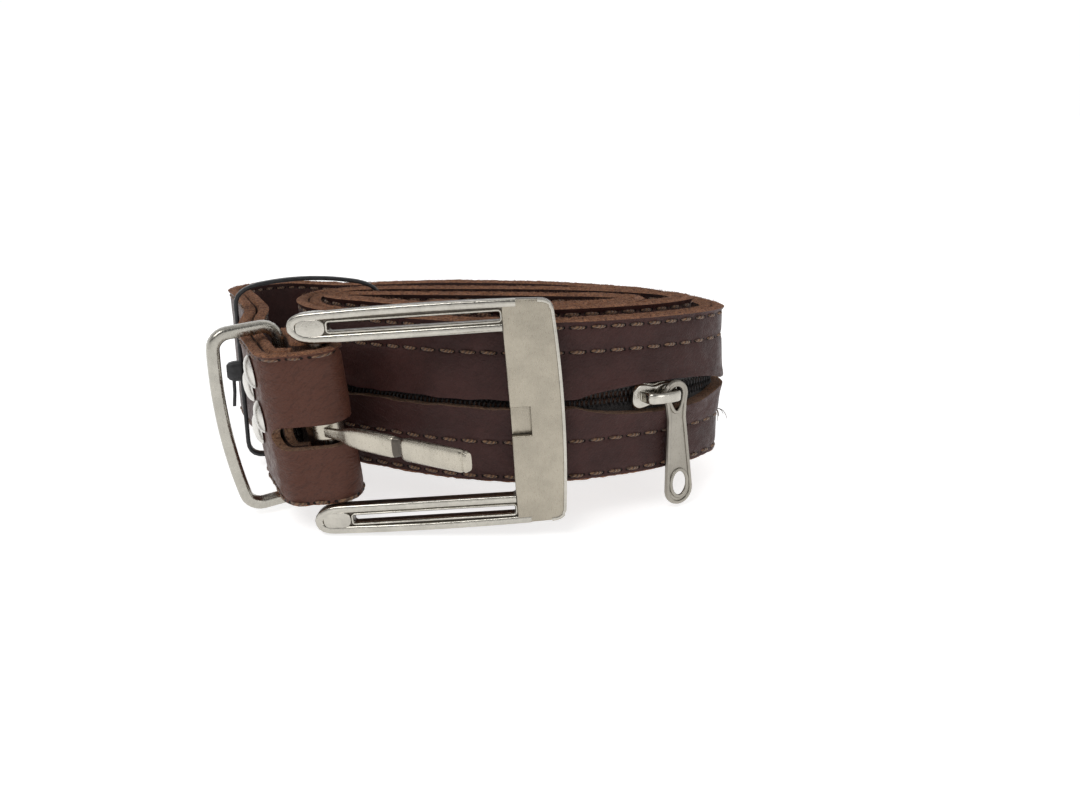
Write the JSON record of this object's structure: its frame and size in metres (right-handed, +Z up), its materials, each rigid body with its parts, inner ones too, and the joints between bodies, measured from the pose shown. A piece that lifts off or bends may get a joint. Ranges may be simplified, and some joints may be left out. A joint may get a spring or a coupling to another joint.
{
  "type": "money belt",
  "caption": "Rolled leather belt with a zipped money slit in its face, a swinging frame buckle with a prong, a ring keeper and a tie round the roll.",
  "frame": {"origin": "middle of the bounding box's footprint, at the height that the rolled belt rests on", "axes": "+X along the roll towards its right-hand turn, +Y away from the buckle side, +Z up across the strap's width"},
  "size_m": [0.1414, 0.1268, 0.0551],
  "materials": {
    "strap_leather": "satin full-grain leather, dark reddish brown, lightly creased",
    "lining_leather": "smooth dark split leather with raw tan edges",
    "nickel_cast": "brushed nickel-plated zinc casting with polished rims",
    "nickel_small": "polished nickel plate, lightly worn",
    "zip_tape": "matt black woven tape",
    "zip_coil": "black nylon coil",
    "tie_nylon": "black moulded nylon",
    "thread": "twisted bronze-brown sewing thread"
  },
  "bodies": {
    "belt": {"outer_strap": "strap_leather", "inner_strap": "lining_leather", "zip_tape_upper": "zip_tape", "zip_tape_lower": "zip_tape", "zip_coil_upper": "zip_coil", "zip_coil_lower": "zip_coil", "zip_top_stop_upper": "nickel_small", "zip_top_stop_lower": "nickel_small", "zip_bottom_stop": "nickel_small", "cable_tie": "tie_nylon", "rivet_cap_front_upper": "nickel_small", "rivet_cap_front_lower": "nickel_small", "rivet_cap_rear_upper": "nickel_small", "rivet_cap_rear_lower": "nickel_small", "rivet_back_front_upper": "nickel_small", "rivet_back_front_lower": "nickel_small", "rivet_back_rear_upper": "nickel_small", "rivet_back_rear_lower": "nickel_small"},
    "buckle": {"buckle_frame": "nickel_cast", "buckle_bar": "nickel_small"},
    "prong": {"buckle_prong": "nickel_cast"},
    "keeper": {"keeper_ring": "nickel_cast"},
    "zip_slider": {"zip_slider_body": "nickel_small", "zip_slider_crown": "nickel_small"},
    "puller": {"zip_puller": "nickel_small"}
  },
  "joints": [
    {"name": "buckle_swing", "type": "hinge", "parent": "belt", "child": "buckle", "pos_m": [-0.02499, -0.03203, 0.02581], "axis": [-0.0677, 0.1045, 0.9922], "range_deg": [-62, 0]},
    {"name": "prong_swing", "type": "hinge", "parent": "buckle", "child": "prong", "pos_m": [-0.02499, -0.03203, 0.02581], "axis": [-0.0677, 0.1045, 0.9922], "range_deg": [-25, 34]},
    {"name": "keeper_rock", "type": "hinge", "parent": "belt", "child": "keeper", "pos_m": [-0.03615, -0.02229, 0.02484], "axis": [-0.0785, 0.0087, 0.9969], "range_deg": [-8, 8]},
    {"name": "zip_slide", "type": "slide", "parent": "belt", "child": "zip_slider", "axis": [-0.8811, -0.4695, 0.0576], "range_m": [-0.006, 0.006]},
    {"name": "puller_swing", "type": "hinge", "parent": "zip_slider", "child": "puller", "pos_m": [0.05602, -0.0222, 0.02889], "axis": [0.473, -0.8745, 0.1074], "range_deg": [-30, 80]}
  ]
}
